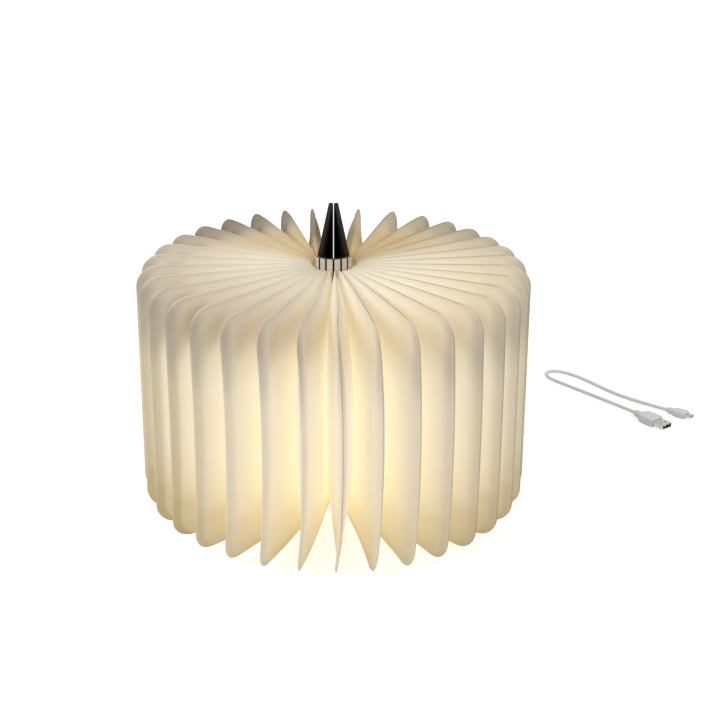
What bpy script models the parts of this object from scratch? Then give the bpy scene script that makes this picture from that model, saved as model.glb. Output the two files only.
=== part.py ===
"""Folding book lamp, opened right round so that its two covers stand back to back and its
paper leaves spread into a full fan. The lamp stands upright on the lower edges of its covers
and of its slatted spine. The origin is on the fan's axis at the floor. The front of the fan
faces -Y, the covers point to +Y, and an angle is measured from -Y towards +X.
"""

import math

import bmesh
import bpy
from mathutils import Matrix, Vector

# Fan of leaves
LEAF_COUNT_EACH_SIDE = 16
LEAF_TURN = math.radians(10.75)
LEAF_REACH = 0.163
LEAF_HEIGHT = 0.203
LEAF_CORNER = 0.0185
PAPER = 0.00035
LEAF_SIDE_PULL = 0.0035
LEAF_GAP = 0.0004
LEAF_SEAM = 0.0009
LEAF_TWIST = 0.044
LEAVES_OVER_STRIP = 5
HEAD_CLOSURE = 0.012
TAIL_CLOSURE = 0.030
HEAD_DROP = 0.0025
HEAD_DROP_REACH = 0.014
VALLEY_START = 0.036
VALLEY_END = 0.114
VALLEY_RISE = 4
FIRST_STATION = 0.030
PANEL_SHARES = (0.45, 0.85)
ROW_DEPTHS = (0, 0.003, 0.008, 0.0185, 0.040)
LEAF_START_ROUNDS = 16

# Spine: slats behind which the skin bends
COVER_HEIGHT = 0.216
SLATS_EACH_SIDE = 3
SLAT_TURN = math.radians(22.5)
SLAT_WIDTH = 0.0047
SLAT_SPACING = 0.00033
SLAT_THICKNESS = 0.00255
SKIN = 0.0005
SEAT_GAP = 0.0003

# Covers
COVER_OVERHANG = 0.002
COVER_CORNER = 0.006
COVER_REAR_GAP = 0.0005
BOARD = 0.0026
BOARD_START = 0.0036
ENDPAPER = 0.0005
ENDPAPER_MARGIN = 0.003
COVER_FACE_OFFSET = 0.0017
ROUND_STEPS = 4

# Light strips on the two middle slats
STRIP_WIDTH = 0.0032
STRIP_THICKNESS = 0.0004
STRIP_MARGIN = 0.018
CHIP_WIDTH = 0.0028
CHIP_LENGTH = 0.0035
CHIP_THICKNESS = 0.0012
CHIP_COUNT = 11

# Magnets, cell and charging electronics inside the covers
MAGNET_WIDTH = 0.008
MAGNET_HEIGHT = 0.040
MAGNET_THICKNESS = 0.0016
MAGNET_INSET = 0.012
MAGNET_HEIGHT_SHARE = 0.78
POCKET_FLOOR = 0.0004
CUT_OVERRUN = 0.001
CELL_WIDTH = 0.060
CELL_HEIGHT = 0.090
CELL_THICKNESS = 0.0016
CELL_START = 0.030
CIRCUIT_WIDTH = 0.015
CIRCUIT_HEIGHT = 0.030
CIRCUIT_THICKNESS = 0.0006
SENSOR_SIZE = 0.003
SENSOR_THICKNESS = 0.0008
SENSOR_INSET = 0.004
SOCKET_WIDTH = 0.0075
SOCKET_DEPTH = 0.0055
SOCKET_THICKNESS = 0.0023
SOCKET_WALL = 0.0003
SOCKET_SETBACK = 0.0008

# Charging lead, laid on the floor beside the lamp
LEAD_DIAMETER = 0.0032
LEAD_STEP_SHARE = 2.4
LEAD_BEND = (0.221, 0.262)
LEAD_HEADING = math.radians(-52)
LEAD_ROUTE = (
    (0.118, -0.0110), (0.110, -0.0110), (0.092, -0.0108), (0.070, -0.0102),
    (0.048, -0.0098), (0.028, -0.0102), (0.012, -0.0108), (0.001, -0.0094),
    (-0.0055, -0.0048), (-0.0072, 0.0012), (-0.0045, 0.0070), (0.003, 0.0112),
    (0.014, 0.0136), (0.032, 0.0140), (0.052, 0.0128), (0.072, 0.0118),
    (0.092, 0.0126), (0.110, 0.0148), (0.124, 0.0176), (0.132, 0.0195),
)
LEAD_RISE_POINTS = 4
PLUG_A = {"body": (0.020, 0.0155, 0.0080), "relief": 0.008, "shell": (0.0120, 0.0120, 0.0045)}
PLUG_MICRO = {"body": (0.014, 0.0104, 0.0064), "relief": 0.006, "shell": (0.0056, 0.0069, 0.0019)}
RELIEF_END = 0.0023
RELIEF_START = 0.0030
RELIEF_STEPS = 16
PLUG_EDGE = 0.0012
PLUG_EDGE_STEPS = 2
SHELL_WALL = 0.0004
TONGUE = (0.0085, 0.0104, 0.0016)

# Sizes that follow from those above
SLAT_PITCH = SLAT_WIDTH + SLAT_SPACING
PIVOT_RADIUS = SLAT_PITCH / (2 * math.sin(SLAT_TURN / 2))
SLAT_BACK = SKIN / 2 + SEAT_GAP
SLAT_FACE = SLAT_BACK + SLAT_THICKNESS
STRIP_BACK = SLAT_FACE + SEAT_GAP
CHIP_BACK = STRIP_BACK + STRIP_THICKNESS / 2
CHIP_FACE = CHIP_BACK + CHIP_THICKNESS
SLAT_ROOT = PIVOT_RADIUS + SLAT_FACE + SEAT_GAP
LEAF_ROOT = PIVOT_RADIUS + CHIP_FACE + SEAT_GAP
FAN_END = (LEAF_COUNT_EACH_SIDE + 0.5) * LEAF_TURN
LEAF_FLOOR = (COVER_HEIGHT - LEAF_HEIGHT) / 2

ENDPAPER_FACE = COVER_FACE_OFFSET
ENDPAPER_BACK = ENDPAPER_FACE - ENDPAPER
BOARD_FACE = ENDPAPER_BACK - SEAT_GAP
BOARD_BACK = BOARD_FACE - BOARD
COVER_SKIN_FACE = BOARD_BACK - SEAT_GAP
COVER_SKIN_BACK = COVER_SKIN_FACE - SKIN
COVER_REACH = LEAF_REACH + COVER_OVERHANG - PIVOT_RADIUS
COVER_PIVOT = Vector((
    PIVOT_RADIUS * math.sin(SLATS_EACH_SIDE * SLAT_TURN),
    -PIVOT_RADIUS * math.cos(SLATS_EACH_SIDE * SLAT_TURN),
))
COVER_LEAN = math.asin((COVER_PIVOT.x + COVER_SKIN_BACK - COVER_REAR_GAP / 2) / COVER_REACH)
SLATS_BEND = (SLATS_EACH_SIDE - 0.5) * SLAT_TURN
COVER_BEND = math.pi / 2 + COVER_LEAN - SLATS_BEND
CLOSED_LEAF_PITCH = (
    (SLATS_EACH_SIDE * SLAT_PITCH - ENDPAPER_FACE - SEAT_GAP) / (LEAF_COUNT_EACH_SIDE + 0.5)
)

PAPER_LOOK = ("leaf paper", (0.90, 0.83, 0.66), 0.75, 0.0)
COVER_LOOK = ("cover cloth", (0.012, 0.010, 0.010), 0.55, 0.0)
SLAT_LOOK = ("slat liner", (0.52, 0.46, 0.38), 0.70, 0.0)
BOARD_LOOK = ("grey board", (0.28, 0.25, 0.22), 0.85, 0.0)
CIRCUIT_LOOK = ("circuit board", (0.80, 0.80, 0.76), 0.45, 0.0)
CELL_LOOK = ("cell pouch", (0.55, 0.57, 0.60), 0.35, 0.6)
STEEL_LOOK = ("plated steel", (0.62, 0.62, 0.64), 0.22, 1.0)
MAGNET_LOOK = ("magnet plating", (0.58, 0.57, 0.55), 0.30, 1.0)
SENSOR_LOOK = ("black moulding", (0.02, 0.02, 0.02), 0.50, 0.0)
LEAD_LOOK = ("white lead", (0.80, 0.80, 0.82), 0.45, 0.0)


def empty_scene():
    for obj in list(bpy.data.objects):
        bpy.data.objects.remove(obj, do_unlink=True)


def new_collection(name):
    collection = bpy.data.collections.new(name)
    bpy.context.scene.collection.children.link(collection)
    return collection


def look(name, colour, roughness, metallic):
    material = bpy.data.materials.get(name)
    if material is None:
        material = bpy.data.materials.new(name)
        material.use_nodes = True
        shader = material.node_tree.nodes["Principled BSDF"]
        shader.inputs["Base Color"].default_value = (*colour, 1)
        shader.inputs["Roughness"].default_value = roughness
        shader.inputs["Metallic"].default_value = metallic
    return material


def add_object(name, bm, finish, parent=None):
    """A piece made of this mesh, whose points are in its parent's space."""
    mesh = bpy.data.meshes.new(name)
    bm.to_mesh(mesh)
    bm.free()
    mesh.materials.append(look(*finish))
    obj = bpy.data.objects.new(name, mesh)
    obj.parent = parent
    parts.objects.link(obj)
    return obj


def add_pivot(name, place, turn, parent=None):
    pivot = bpy.data.objects.new(name, None)
    pivot.location = place
    pivot.rotation_euler.z = turn
    pivot.parent = parent
    parts.objects.link(pivot)
    return pivot


def add_block(bm, low, high):
    """Adds a box between two opposite corners, in either order, to a mesh."""
    low, high = Vector(low), Vector(high)
    size = Vector(abs(b - a) for a, b in zip(low, high))
    place = Matrix.Translation((low + high) / 2) @ Matrix.Diagonal((*size, 1))
    bmesh.ops.create_cube(bm, size=1, matrix=place)


def block(name, low, high, finish, parent=None):
    bm = bmesh.new()
    add_block(bm, low, high)
    return add_object(name, bm, finish, parent)


def cut(obj, cutter, operation="DIFFERENCE"):
    """Cuts one object with another, which moves to the cutters and is left out of the part."""
    parts.objects.unlink(cutter)
    cutters.objects.link(cutter)
    cutter.hide_render = True
    cutter.display_type = "WIRE"
    boolean = obj.modifiers.new("cut " + cutter.name, "BOOLEAN")
    boolean.operation = operation
    boolean.object = cutter


def sheet(name, path, finish, parent=None):
    """A skin as high as the covers, whose middle follows this path on the floor."""
    bm = bmesh.new()
    points = [bm.verts.new((x, y, 0)) for x, y in path]
    edges = [bm.edges.new(pair) for pair in zip(points, points[1:])]
    raised = bmesh.ops.extrude_edge_only(bm, edges=edges)["geom"]
    raised = [item for item in raised if isinstance(item, bmesh.types.BMVert)]
    bmesh.ops.translate(bm, verts=raised, vec=(0, 0, COVER_HEIGHT))
    bmesh.ops.recalc_face_normals(bm, faces=bm.faces)
    obj = add_object(name, bm, finish, parent)
    thick = obj.modifiers.new("thickness", "SOLIDIFY")
    thick.thickness = SKIN
    thick.offset = 0
    thick.use_even_offset = True
    return obj


def cover_limit(radius):
    """The angle at which a circle of this radius meets the page side of the right cover."""
    offset = COVER_PIVOT.x * math.cos(COVER_LEAN) + COVER_PIVOT.y * math.sin(COVER_LEAN)
    offset += ENDPAPER_FACE + SEAT_GAP
    return COVER_LEAN + math.pi - math.asin(min(1, offset / radius))


def fan_angle(angle, radius):
    """The fan is evenly spaced outside, and near its axis it leaves room for the covers."""
    squeeze = max(0, FAN_END - cover_limit(radius))
    return angle - math.copysign(squeeze * (angle / FAN_END) ** 2, angle)


def leaf_start(number):
    """The radius at which a leaf starts, so that its edge lies on the flat spine when closed."""
    angle = number * LEAF_TURN
    root = LEAF_ROOT if abs(number) <= LEAVES_OVER_STRIP else SLAT_ROOT
    radius = root
    for _ in range(LEAF_START_ROUNDS):
        radius = root / math.cos(fan_angle(angle, radius) - angle)
    return radius


def leaf_edge(number, height):
    """How far a leaf reaches at this height above its tail, with its rounded corners."""
    inset = LEAF_CORNER - min(height, LEAF_HEIGHT - height, LEAF_CORNER)
    pull = LEAF_SIDE_PULL * math.sin(number * LEAF_TURN) ** 2
    return LEAF_REACH - pull - LEAF_CORNER + math.sqrt(LEAF_CORNER ** 2 - inset ** 2)


def leaf_opening(height):
    """How far a leaf is open at this height, and the radius at which it leaves its neighbours.

    A leaf is closed along its head and tail, and its pocket swells between them.
    """
    upper = height > LEAF_HEIGHT / 2
    depth = LEAF_HEIGHT - height if upper else height
    closure = HEAD_CLOSURE if upper else TAIL_CLOSURE
    opening = math.sin(math.pi / 2 * min(1, depth / closure))
    rise = max(0, depth - closure) / (LEAF_HEIGHT / 2 - closure)
    return opening, VALLEY_START + (VALLEY_END - VALLEY_START) * (1 - (1 - rise) ** VALLEY_RISE)


def leaf_lean(place, radius, height):
    """How far the fan leans sideways at this place in it, counted in leaves from its middle.

    It leans one way round in front and the other way behind, and not at all by the covers.
    """
    share = math.cos(math.pi * place / LEAF_COUNT_EACH_SIDE)
    share *= min(1, (LEAF_COUNT_EACH_SIDE + 0.5 - abs(place)) / 2)
    if share > 0:
        middle = 1 - (2 * height / LEAF_HEIGHT - 1) ** 2
        pull = (1 - 0.25 * height / LEAF_HEIGHT) * (1 - middle ** 0.6)
        share *= 1 - pull * ((radius - LEAF_ROOT) / (LEAF_REACH - LEAF_ROOT)) ** 2
    return LEAF_TWIST * share


def leaf_point(number, side, radius, share, height):
    """A point of a leaf's panel: side is -1 or 1, share runs from its valley (0) to its fold (1)."""
    angle = number * LEAF_TURN
    centre = fan_angle(angle, radius)
    wedge = radius * abs(fan_angle(angle + side * LEAF_TURN / 2, radius) - centre) - LEAF_GAP / 2
    width = leaf_opening(height)[0] * (1 - 2 * share ** 2 + share ** 3)
    half = min(wedge, max(width * wedge, LEAF_SEAM / 2)) if share < 1 else 0
    place = centre + side * half / radius + leaf_lean(number + side * width / 2, radius, height)
    drop = max(0, 1 - (radius - leaf_start(number)) / HEAD_DROP_REACH) ** 2
    z = LEAF_FLOOR + height - HEAD_DROP * drop * height / LEAF_HEIGHT
    return Vector((radius * math.sin(place), -radius * math.cos(place), z))


def leaf_stations(number, height):
    """The radii of a panel's points from spine to fold, each with its share past the valley."""
    valley = leaf_opening(height)[1]
    edge = leaf_edge(number, height)
    outer = [(valley + share * (edge - valley), share) for share in (0, *PANEL_SHARES, 1)]
    return [(leaf_start(number), 0), (FIRST_STATION, 0), *outer]


def leaf_pole(number):
    """The axis about which a leaf turns between its place in the fan and in the closed book."""
    if number == 0:
        return Vector((0, 0, 0))
    half = number * CLOSED_LEAF_PITCH / 2
    return Vector((half, -half / math.tan(number * LEAF_TURN / 2), 0))


def make_leaf(number):
    """One pocket of paper: two panels that meet at the outer fold and open towards the spine."""
    heights = [*ROW_DEPTHS, LEAF_HEIGHT / 2, *[LEAF_HEIGHT - row for row in reversed(ROW_DEPTHS)]]
    fold = len(PANEL_SHARES) + 3
    bm = bmesh.new()
    bmesh.ops.create_grid(bm, x_segments=2 * fold, y_segments=len(heights) - 1, size=1)
    pole = leaf_pole(number)
    for vert in bm.verts:
        column = round((vert.co.x + 1) * fold) - fold
        height = heights[round((vert.co.y + 1) / 2 * (len(heights) - 1))]
        radius, share = leaf_stations(number, height)[fold - abs(column)]
        side = -1 if column < 0 else 1
        vert.co = leaf_point(number, side, radius, share, height) - pole
    prefix = "leaf_right_" if number > 0 else "leaf_left_"
    name = f"{prefix}{abs(number):02d}" if number else "leaf_middle"
    obj = add_object(name, bm, PAPER_LOOK)
    obj.location = pole
    thick = obj.modifiers.new("thickness", "SOLIDIFY")
    thick.thickness = PAPER
    thick.offset = -1
    return obj


def make_spine():
    """The slats and light strips. Gives the pivot of each side's cover, left one first."""
    covers = {}
    for side in (-1, 1):
        carrier = add_pivot("spine_pivot", (0, -PIVOT_RADIUS, 0), 0)
        step = 0
        for order in range(SLATS_EACH_SIDE):
            turn = SLAT_TURN * (1 if order else 0.5)
            number = SLATS_EACH_SIDE - order if side < 0 else SLATS_EACH_SIDE + order + 1
            carrier = add_pivot(f"slat_{number}_pivot", (step, 0, 0), side * turn, carrier)
            step = side * SLAT_PITCH
            near = side * SLAT_SPACING / 2
            far = side * (SLAT_PITCH - SLAT_SPACING / 2)
            block(
                f"slat_{number}", (near, -SLAT_FACE, 0), (far, -SLAT_BACK, COVER_HEIGHT),
                SLAT_LOOK, carrier,
            )
            if order == 0:
                make_light_strip(side, carrier)
        covers[side] = add_pivot("cover_pivot", (step, 0, 0), side * COVER_BEND, carrier)
    return covers


def make_light_strip(side, carrier):
    centre = side * SLAT_PITCH / 2
    bottom = LEAF_FLOOR + STRIP_MARGIN
    top = COVER_HEIGHT - bottom
    name = "led_strip_left" if side < 0 else "led_strip_right"
    strip = block(
        name, (centre - STRIP_WIDTH / 2, -STRIP_BACK - STRIP_THICKNESS, bottom),
        (centre + STRIP_WIDTH / 2, -STRIP_BACK, top), CIRCUIT_LOOK, carrier,
    )
    bm = bmesh.new()
    pitch = (top - bottom) / CHIP_COUNT
    for order in range(CHIP_COUNT):
        middle = bottom + (order + 0.5) * pitch
        add_block(
            bm, (centre - CHIP_WIDTH / 2, -CHIP_FACE, middle - CHIP_LENGTH / 2),
            (centre + CHIP_WIDTH / 2, -CHIP_BACK, middle + CHIP_LENGTH / 2),
        )
    cut(strip, add_object(f"{name} chips", bm, CIRCUIT_LOOK, carrier), "UNION")


def cover_place(side, along, across):
    """The floor point of a cover at rest, from its hinge outwards and towards its page side."""
    x = COVER_PIVOT.x - along * math.sin(COVER_LEAN) + across * math.cos(COVER_LEAN)
    y = COVER_PIVOT.y + along * math.cos(COVER_LEAN) + across * math.sin(COVER_LEAN)
    return side * x, y


def make_spine_skin():
    path = []
    for side in (-1, 1):
        ends = [
            (
                side * PIVOT_RADIUS * math.sin(step * SLAT_TURN),
                -PIVOT_RADIUS * math.cos(step * SLAT_TURN),
            )
            for step in range(1, SLATS_EACH_SIDE + 1)
        ]
        ends.append(
            cover_place(side, BOARD_START - SEAT_GAP, (COVER_SKIN_FACE + COVER_SKIN_BACK) / 2)
        )
        path = path + [(0, -PIVOT_RADIUS)] + ends if side > 0 else ends[::-1]
    sheet("spine_skin", path, COVER_LOOK)


def plate(name, side, start, end, low, high, back, face, corner, finish, carrier):
    """A cover layer whose two fore-edge corners are rounded."""
    bm = bmesh.new()
    add_block(bm, (side * start, -face, low), (side * end, -back, high))
    corners = [
        edge for edge in bm.edges
        if all(abs(abs(vert.co.x) - end) < SEAT_GAP for vert in edge.verts)
        and abs(edge.verts[0].co.z - edge.verts[1].co.z) < SEAT_GAP
    ]
    bmesh.ops.bevel(
        bm, geom=corners, offset=corner, segments=ROUND_STEPS, profile=0.5, affect="EDGES"
    )
    return add_object(name, bm, finish, carrier)


def make_cover(side, name, carrier):
    """One cover at its hinge: outer skin, board with its magnets, and endpaper."""
    board = plate(
        f"{name}_cover_board", side, BOARD_START, COVER_REACH, 0, COVER_HEIGHT,
        BOARD_BACK, BOARD_FACE, COVER_CORNER, BOARD_LOOK, carrier,
    )
    plate(
        f"{name}_cover_skin", side, BOARD_START, COVER_REACH, 0, COVER_HEIGHT,
        COVER_SKIN_BACK, COVER_SKIN_FACE, COVER_CORNER, COVER_LOOK, carrier,
    )
    plate(
        f"{name}_endpaper", side, BOARD_START, COVER_REACH - ENDPAPER_MARGIN,
        ENDPAPER_MARGIN, COVER_HEIGHT - ENDPAPER_MARGIN,
        ENDPAPER_BACK, ENDPAPER_FACE, COVER_CORNER - ENDPAPER_MARGIN, PAPER_LOOK, carrier,
    )
    make_magnet(side, name, board, carrier)
    return board


def upright(name, side, start, width, middle, height, back, thickness, finish, carrier):
    """A block inside a cover, from its hinge side outwards and centred at a height."""
    return block(
        name, (side * start, -back - thickness, middle - height / 2),
        (side * (start + width), -back, middle + height / 2), finish, carrier,
    )


def make_magnet(side, name, board, carrier):
    start = COVER_REACH - MAGNET_INSET - MAGNET_WIDTH
    middle = MAGNET_HEIGHT_SHARE * COVER_HEIGHT
    floor = BOARD_BACK + POCKET_FLOOR
    upright(
        f"{name}_cover_magnet", side, start, MAGNET_WIDTH, middle, MAGNET_HEIGHT,
        floor + SEAT_GAP, MAGNET_THICKNESS, MAGNET_LOOK, carrier,
    )
    cut(board, upright(
        f"{name} magnet pocket", side, start - SEAT_GAP, MAGNET_WIDTH + 2 * SEAT_GAP, middle,
        MAGNET_HEIGHT + 2 * SEAT_GAP, floor, BOARD_FACE + CUT_OVERRUN - floor,
        MAGNET_LOOK, carrier,
    ))


def make_electronics(side, board, carrier):
    """The cell and the charging circuit, each in a pocket of the back cover's board."""
    middle = COVER_HEIGHT / 2
    floor = BOARD_BACK + POCKET_FLOOR
    seat = floor + SEAT_GAP
    open_side = BOARD_FACE + CUT_OVERRUN

    def boxed(name, start, width, height, back, thickness, finish):
        return upright(
            name, side, start, width, middle, height, back, thickness, finish, carrier
        )

    boxed("battery_cell", CELL_START, CELL_WIDTH, CELL_HEIGHT, seat, CELL_THICKNESS, CELL_LOOK)
    cut(board, boxed(
        "cell pocket", CELL_START - SEAT_GAP, CELL_WIDTH + 2 * SEAT_GAP,
        CELL_HEIGHT + 2 * SEAT_GAP, floor, open_side - floor, CELL_LOOK,
    ))
    socket_start = COVER_REACH - SOCKET_SETBACK - SOCKET_DEPTH
    notch_start = socket_start - SEAT_GAP
    circuit_start = notch_start - CIRCUIT_WIDTH
    boxed(
        "charge_board", circuit_start, CIRCUIT_WIDTH, CIRCUIT_HEIGHT, seat,
        CIRCUIT_THICKNESS, CIRCUIT_LOOK,
    )
    cut(board, boxed(
        "circuit pocket", circuit_start - SEAT_GAP, CIRCUIT_WIDTH + 2 * SEAT_GAP,
        CIRCUIT_HEIGHT + 2 * SEAT_GAP, floor, open_side - floor, CIRCUIT_LOOK,
    ))
    boxed(
        "lid_sensor", circuit_start + SENSOR_INSET, SENSOR_SIZE, SENSOR_SIZE,
        seat + CIRCUIT_THICKNESS + SEAT_GAP, SENSOR_THICKNESS, SENSOR_LOOK,
    )
    back = (BOARD_BACK + BOARD_FACE - SOCKET_THICKNESS) / 2
    socket = boxed(
        "usb_socket", socket_start, SOCKET_DEPTH, SOCKET_WIDTH, back, SOCKET_THICKNESS, STEEL_LOOK
    )
    cut(socket, boxed(
        "socket mouth", socket_start + SOCKET_WALL, SOCKET_DEPTH, SOCKET_WIDTH - 2 * SOCKET_WALL,
        back + SOCKET_WALL, SOCKET_THICKNESS - 2 * SOCKET_WALL, STEEL_LOOK,
    ))
    cut(board, boxed(
        "socket notch", notch_start, COVER_REACH - notch_start + CUT_OVERRUN,
        SOCKET_WIDTH + 2 * SEAT_GAP, BOARD_BACK - CUT_OVERRUN, BOARD + 2 * CUT_OVERRUN, STEEL_LOOK,
    ))


def smooth_route(points, step):
    """Points about a step apart on a smooth curve through these points."""
    padded = [2 * points[0] - points[1], *points, 2 * points[-1] - points[-2]]
    route = [points[0]]
    for before, start, end, after in zip(padded, padded[1:], padded[2:], padded[3:]):
        steps = max(1, round((end - start).length / step))
        for count in range(1, steps + 1):
            t = count / steps
            bend = (
                2 * start + (end - before) * t
                + (2 * before - 5 * start + 4 * end - after) * t ** 2
                + (3 * start - before - 3 * end + after) * t ** 3
            )
            route.append(bend / 2)
    return route


def lead_points():
    """The lead's own points, which rise at both ends to the middle of the plugs."""
    turn = Matrix.Rotation(LEAD_HEADING, 2)
    last = len(LEAD_ROUTE) - 1
    points = []
    for order, place in enumerate(LEAD_ROUTE):
        x, y = Vector(LEAD_BEND) + turn @ Vector(place)
        z = LEAD_DIAMETER / 2
        for plug, distance in ((PLUG_A, order), (PLUG_MICRO, last - order)):
            share = min(1, max(0, 1 - (distance - 1) / LEAD_RISE_POINTS))
            z += (plug["body"][2] - LEAD_DIAMETER) / 2 * share ** 2 * (3 - 2 * share)
        points.append(Vector((x, y, z)))
    return points


def make_lead():
    points = lead_points()
    route = smooth_route(points, LEAD_STEP_SHARE * LEAD_DIAMETER)
    curve = bpy.data.curves.new("charge_cord", "CURVE")
    curve.dimensions = "3D"
    curve.bevel_depth = LEAD_DIAMETER / 2
    curve.bevel_resolution = 2
    curve.use_fill_caps = True
    spline = curve.splines.new("POLY")
    spline.points.add(len(route) - 1)
    for point, place in zip(spline.points, route):
        point.co = (*place, 1)
    curve.materials.append(look(*LEAD_LOOK))
    parts.objects.link(bpy.data.objects.new("charge_cord", curve))
    plug_a = make_plug("usb_a", PLUG_A, points[0], points[0] - points[1])
    make_plug("micro_usb", PLUG_MICRO, points[-1], points[-1] - points[-2])
    height = PLUG_A["shell"][2]
    start = PLUG_A["relief"] + PLUG_A["body"][0] + 3 * SEAT_GAP + SHELL_WALL
    top = height / 2 - SHELL_WALL - SEAT_GAP
    block(
        "usb_a_tongue", (start, -TONGUE[1] / 2, top - TONGUE[2]),
        (start + TONGUE[0], TONGUE[1] / 2, top), LEAD_LOOK, plug_a,
    )


def make_plug(name, sizes, end, heading):
    """A moulded plug body with its strain relief, and its metal shell, past the lead's end."""
    place = add_pivot(f"{name}_place", end, math.atan2(heading.y, heading.x))
    length, width, height = sizes["body"]
    relief = sizes["relief"]
    body_start = relief + SEAT_GAP
    body = block(
        f"{name}_body", (body_start, -width / 2, -height / 2),
        (body_start + length, width / 2, height / 2), LEAD_LOOK, place,
    )
    edges = body.modifiers.new("rounded edges", "BEVEL")
    edges.width = PLUG_EDGE
    edges.segments = PLUG_EDGE_STEPS
    bm = bmesh.new()
    depth = relief + PLUG_EDGE
    middle = Matrix.Translation((SEAT_GAP + depth / 2, 0, 0))
    bmesh.ops.create_cone(
        bm, cap_ends=True, segments=RELIEF_STEPS, radius1=RELIEF_END, radius2=RELIEF_START,
        depth=depth, matrix=middle @ Matrix.Rotation(math.pi / 2, 4, "Y"),
    )
    cut(body, add_object(f"{name} strain relief", bm, LEAD_LOOK, place), "UNION")
    shell_length, shell_width, shell_height = sizes["shell"]
    start = body_start + length + SEAT_GAP
    shell = block(
        f"{name}_shell", (start, -shell_width / 2, -shell_height / 2),
        (start + shell_length, shell_width / 2, shell_height / 2), STEEL_LOOK, place,
    )
    inside = Vector((0, shell_width / 2 - SHELL_WALL, shell_height / 2 - SHELL_WALL))
    cut(shell, block(
        f"{name} mouth", Vector((start + SHELL_WALL, 0, 0)) - inside,
        Vector((start + shell_length + CUT_OVERRUN, 0, 0)) + inside, STEEL_LOOK, place,
    ))
    return place


empty_scene()
parts = new_collection("book lamp")
cutters = new_collection("cutters")
make_spine_skin()
cover_pivots = make_spine()
make_cover(-1, "front", cover_pivots[-1])
back_board = make_cover(1, "back", cover_pivots[1])
make_electronics(1, back_board, cover_pivots[1])
for leaf_number in range(-LEAF_COUNT_EACH_SIDE, LEAF_COUNT_EACH_SIDE + 1):
    make_leaf(leaf_number)
make_lead()
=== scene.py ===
"""Looks of the folding book lamp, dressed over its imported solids. The lamp is opened right
round: its paper leaves make a full fan and its two covers stand back to back behind them.
Lengths are in metres, in the frame of the solids: +Z up, the middle leaf points to -Y.
"""

import math

import bmesh
import bpy
from mathutils import Matrix, Vector


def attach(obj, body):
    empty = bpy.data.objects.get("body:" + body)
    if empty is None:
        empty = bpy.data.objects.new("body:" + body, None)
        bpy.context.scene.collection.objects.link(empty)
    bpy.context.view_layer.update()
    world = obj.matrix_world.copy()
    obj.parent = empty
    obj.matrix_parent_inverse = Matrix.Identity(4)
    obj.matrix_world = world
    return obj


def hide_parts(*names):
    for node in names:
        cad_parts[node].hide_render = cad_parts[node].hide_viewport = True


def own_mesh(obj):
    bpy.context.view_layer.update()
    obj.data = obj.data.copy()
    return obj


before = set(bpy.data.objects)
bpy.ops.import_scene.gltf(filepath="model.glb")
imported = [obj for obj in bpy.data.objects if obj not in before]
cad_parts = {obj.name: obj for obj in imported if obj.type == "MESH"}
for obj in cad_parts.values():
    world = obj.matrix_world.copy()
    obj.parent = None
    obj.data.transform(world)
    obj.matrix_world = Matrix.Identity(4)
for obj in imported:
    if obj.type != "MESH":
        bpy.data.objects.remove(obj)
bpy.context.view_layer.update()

# Leaf sizes shared with the solids. A leaf opens over its closures at head and tail, its head
# drops by the spine, and the valleys beside it run from their start, at head and tail, to
# their end at half height.
LEAF_COUNT_EACH_SIDE = 16
LEAF_TURN = math.radians(10.75)
LEAF_REACH = 0.163
LEAF_HEIGHT = 0.203
LEAF_CORNER = 0.0185
LEAF_SIDE_PULL = 0.0035
LEAF_GAP = 0.0004
LEAF_SEAM = 0.0009
LEAF_START_ROUNDS = 16
LEAVES_OVER_STRIP = 5
HEAD_CLOSURE = 0.012
TAIL_CLOSURE = 0.030
HEAD_DROP = 0.0025
HEAD_DROP_REACH = 0.014
VALLEY_START = 0.036
VALLEY_END = 0.114
VALLEY_RISE = 4

# Cover and spine sizes shared with the solids. Faces are counted from the hinge lines.
COVER_HEIGHT = 0.216
COVER_OVERHANG = 0.002
COVER_CORNER = 0.006
COVER_REAR_GAP = 0.0005
SLATS_EACH_SIDE = 3
SLAT_TURN = math.radians(22.5)
SLAT_WIDTH = 0.0047
SLAT_SPACING = 0.00033
SLAT_FACE = 0.0031
CHIP_FACE = 0.0048
SKIN = 0.0005
SEAT_GAP = 0.0003
BOARD = 0.0026
BOARD_START = 0.0036
ENDPAPER = 0.0005
ENDPAPER_FACE = 0.0017

# The fan's lean: its angle, the leaves over which it dies out beside the covers, how much
# less the head straightens than the tail, and how fast both straighten towards their ends
LEAF_TWIST = 0.044
LEAN_FADE = 2
LEAN_HEAD_LOSS = 0.25
LEAN_CURVE = 0.6

SLAT_PITCH = SLAT_WIDTH + SLAT_SPACING
PIVOT_RADIUS = SLAT_PITCH / (2 * math.sin(SLAT_TURN / 2))
SLAT_ROOT = PIVOT_RADIUS + SLAT_FACE + SEAT_GAP
LEAF_ROOT = PIVOT_RADIUS + CHIP_FACE + SEAT_GAP
FAN_END = (LEAF_COUNT_EACH_SIDE + 0.5) * LEAF_TURN
LEAF_FLOOR = (COVER_HEIGHT - LEAF_HEIGHT) / 2
BOARD_FACE = ENDPAPER_FACE - ENDPAPER - SEAT_GAP
BOARD_BACK = BOARD_FACE - BOARD
COVER_SKIN_FACE = BOARD_BACK - SEAT_GAP
COVER_SKIN_BACK = COVER_SKIN_FACE - SKIN
COVER_REACH = LEAF_REACH + COVER_OVERHANG - PIVOT_RADIUS
COVER_PIVOT = Vector((
    PIVOT_RADIUS * math.sin(SLATS_EACH_SIDE * SLAT_TURN),
    -PIVOT_RADIUS * math.cos(SLATS_EACH_SIDE * SLAT_TURN),
))
COVER_LEAN = math.asin((COVER_PIVOT.x + COVER_SKIN_BACK - COVER_REAR_GAP / 2) / COVER_REACH)

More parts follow.
